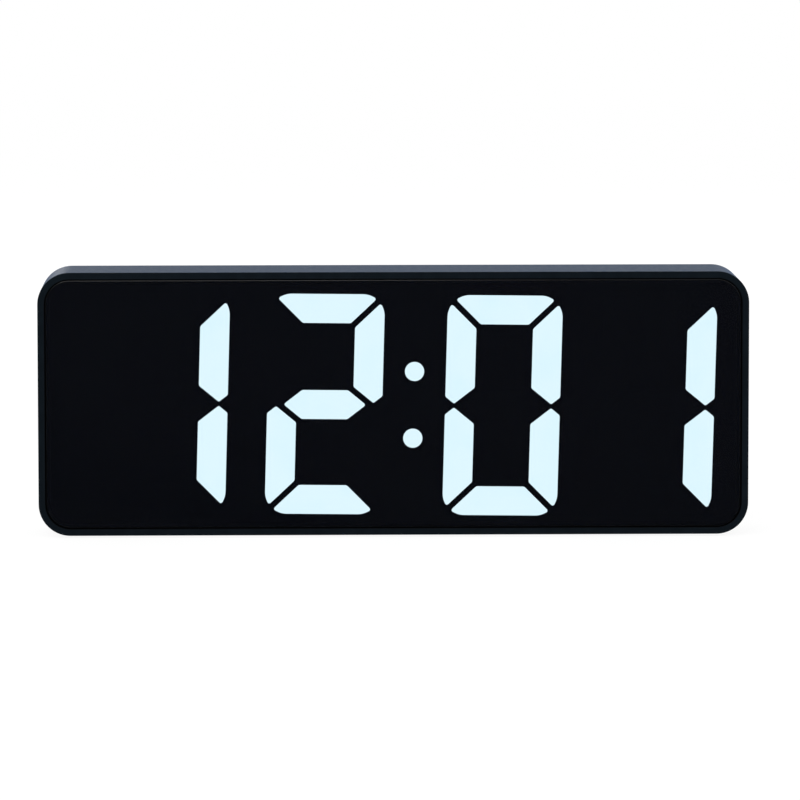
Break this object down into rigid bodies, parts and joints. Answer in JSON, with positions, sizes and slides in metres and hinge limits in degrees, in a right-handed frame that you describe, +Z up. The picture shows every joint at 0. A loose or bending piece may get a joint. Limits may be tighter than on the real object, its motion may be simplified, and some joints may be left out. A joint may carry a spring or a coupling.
{
  "type": "digital alarm clock",
  "caption": "Slim bedside alarm clock: a rounded black case with a smoked lens over large slanted seven-segment digits, with keys, sounder, power inlet and battery bay at the back.",
  "frame": {"origin": "centre of the bounding box on the surface that the foot pads stand on", "axes": "+X to the right seen from the front, the front lens faces -Y, +Z up"},
  "size_m": [0.165, 0.023, 0.0618],
  "materials": {
    "case_plastic": "fine spark-eroded texture, blue-black",
    "key_plastic": "fine texture, blue-black",
    "smoked_lens": "smooth smoked acrylic",
    "adhesive_tape": "black tape",
    "mask_sheet": "matt black print",
    "segment_diffuser": "milky, lit cyan-white where a segment is on",
    "reflector_plastic": "white moulding",
    "board_resin": "green solder mask",
    "component_black": "moulded black",
    "capacitor_sleeve": "shrink sleeve",
    "plated_steel": "nickel plated",
    "cell_jacket": "printed film over a metal can, plain",
    "red_insulation": "smooth",
    "grey_insulation": "smooth",
    "foot_rubber": "soft matt"
  },
  "bodies": {
    "case": {"housing": "case_plastic", "rear_cover": "case_plastic", "display_lens": "smoked_lens", "lens_adhesive": "adhesive_tape", "segment_mask": "mask_sheet", "digit_1_diffuser": "segment_diffuser", "digit_2_diffuser": "segment_diffuser", "digit_3_diffuser": "segment_diffuser", "digit_4_diffuser": "segment_diffuser", "colon_diffuser": "segment_diffuser", "indicator_diffuser": "segment_diffuser", "reflector_block": "reflector_plastic", "main_board": "board_resin", "key_board": "board_resin", "clock_chip": "component_black", "buzzer": "component_black", "switch_1": "component_black", "switch_2": "component_black", "switch_3": "component_black", "switch_4": "component_black", "smoothing_capacitor": "capacitor_sleeve", "crystal": "plated_steel", "usb_socket": "plated_steel", "cover_screw_1": "plated_steel", "cover_screw_2": "plated_steel", "cover_screw_3": "plated_steel", "cover_screw_4": "plated_steel", "board_screw_1": "plated_steel", "board_screw_2": "plated_steel", "board_screw_3": "plated_steel", "board_screw_4": "plated_steel", "key_board_screw_1": "plated_steel", "key_board_screw_2": "plated_steel", "contact_spring_1": "plated_steel", "contact_spring_2": "plated_steel", "contact_spring_3": "plated_steel", "terminal_positive": "plated_steel", "terminal_negative": "plated_steel", "contact_bridge_right": "plated_steel", "contact_bridge_left": "plated_steel", "battery_cell_1": "cell_jacket", "battery_cell_2": "cell_jacket", "battery_cell_3": "cell_jacket", "wire_positive": "red_insulation", "wire_negative": "grey_insulation", "ribbon_cable": "grey_insulation", "foot_pad_left": "foot_rubber", "foot_pad_right": "foot_rubber"},
    "mode_key_body": {"mode_key": "key_plastic", "switch_plunger_1": "reflector_plastic"},
    "set_key_body": {"set_key": "key_plastic", "switch_plunger_2": "reflector_plastic"},
    "up_key_body": {"up_key": "key_plastic", "switch_plunger_3": "reflector_plastic"},
    "down_key_body": {"down_key": "key_plastic", "switch_plunger_4": "reflector_plastic"},
    "battery_door": {"battery_cover": "case_plastic"}
  },
  "joints": [
    {"name": "mode_press", "type": "slide", "parent": "case", "child": "mode_key_body", "axis": [0, -1, 0], "range_m": [0, 0.0005], "stiffness_N_per_m": 400},
    {"name": "set_press", "type": "slide", "parent": "case", "child": "set_key_body", "axis": [0, -1, 0], "range_m": [0, 0.0005], "stiffness_N_per_m": 400},
    {"name": "up_press", "type": "slide", "parent": "case", "child": "up_key_body", "axis": [0, -1, 0], "range_m": [0, 0.0005], "stiffness_N_per_m": 400},
    {"name": "down_press", "type": "slide", "parent": "case", "child": "down_key_body", "axis": [0, -1, 0], "range_m": [0, 0.0005], "stiffness_N_per_m": 400},
    {"name": "battery_door_hinge", "type": "hinge", "parent": "case", "child": "battery_door", "pos_m": [0, 0.0105, 0.0065], "axis": [-1, 0, 0], "range_deg": [0, 80]}
  ]
}
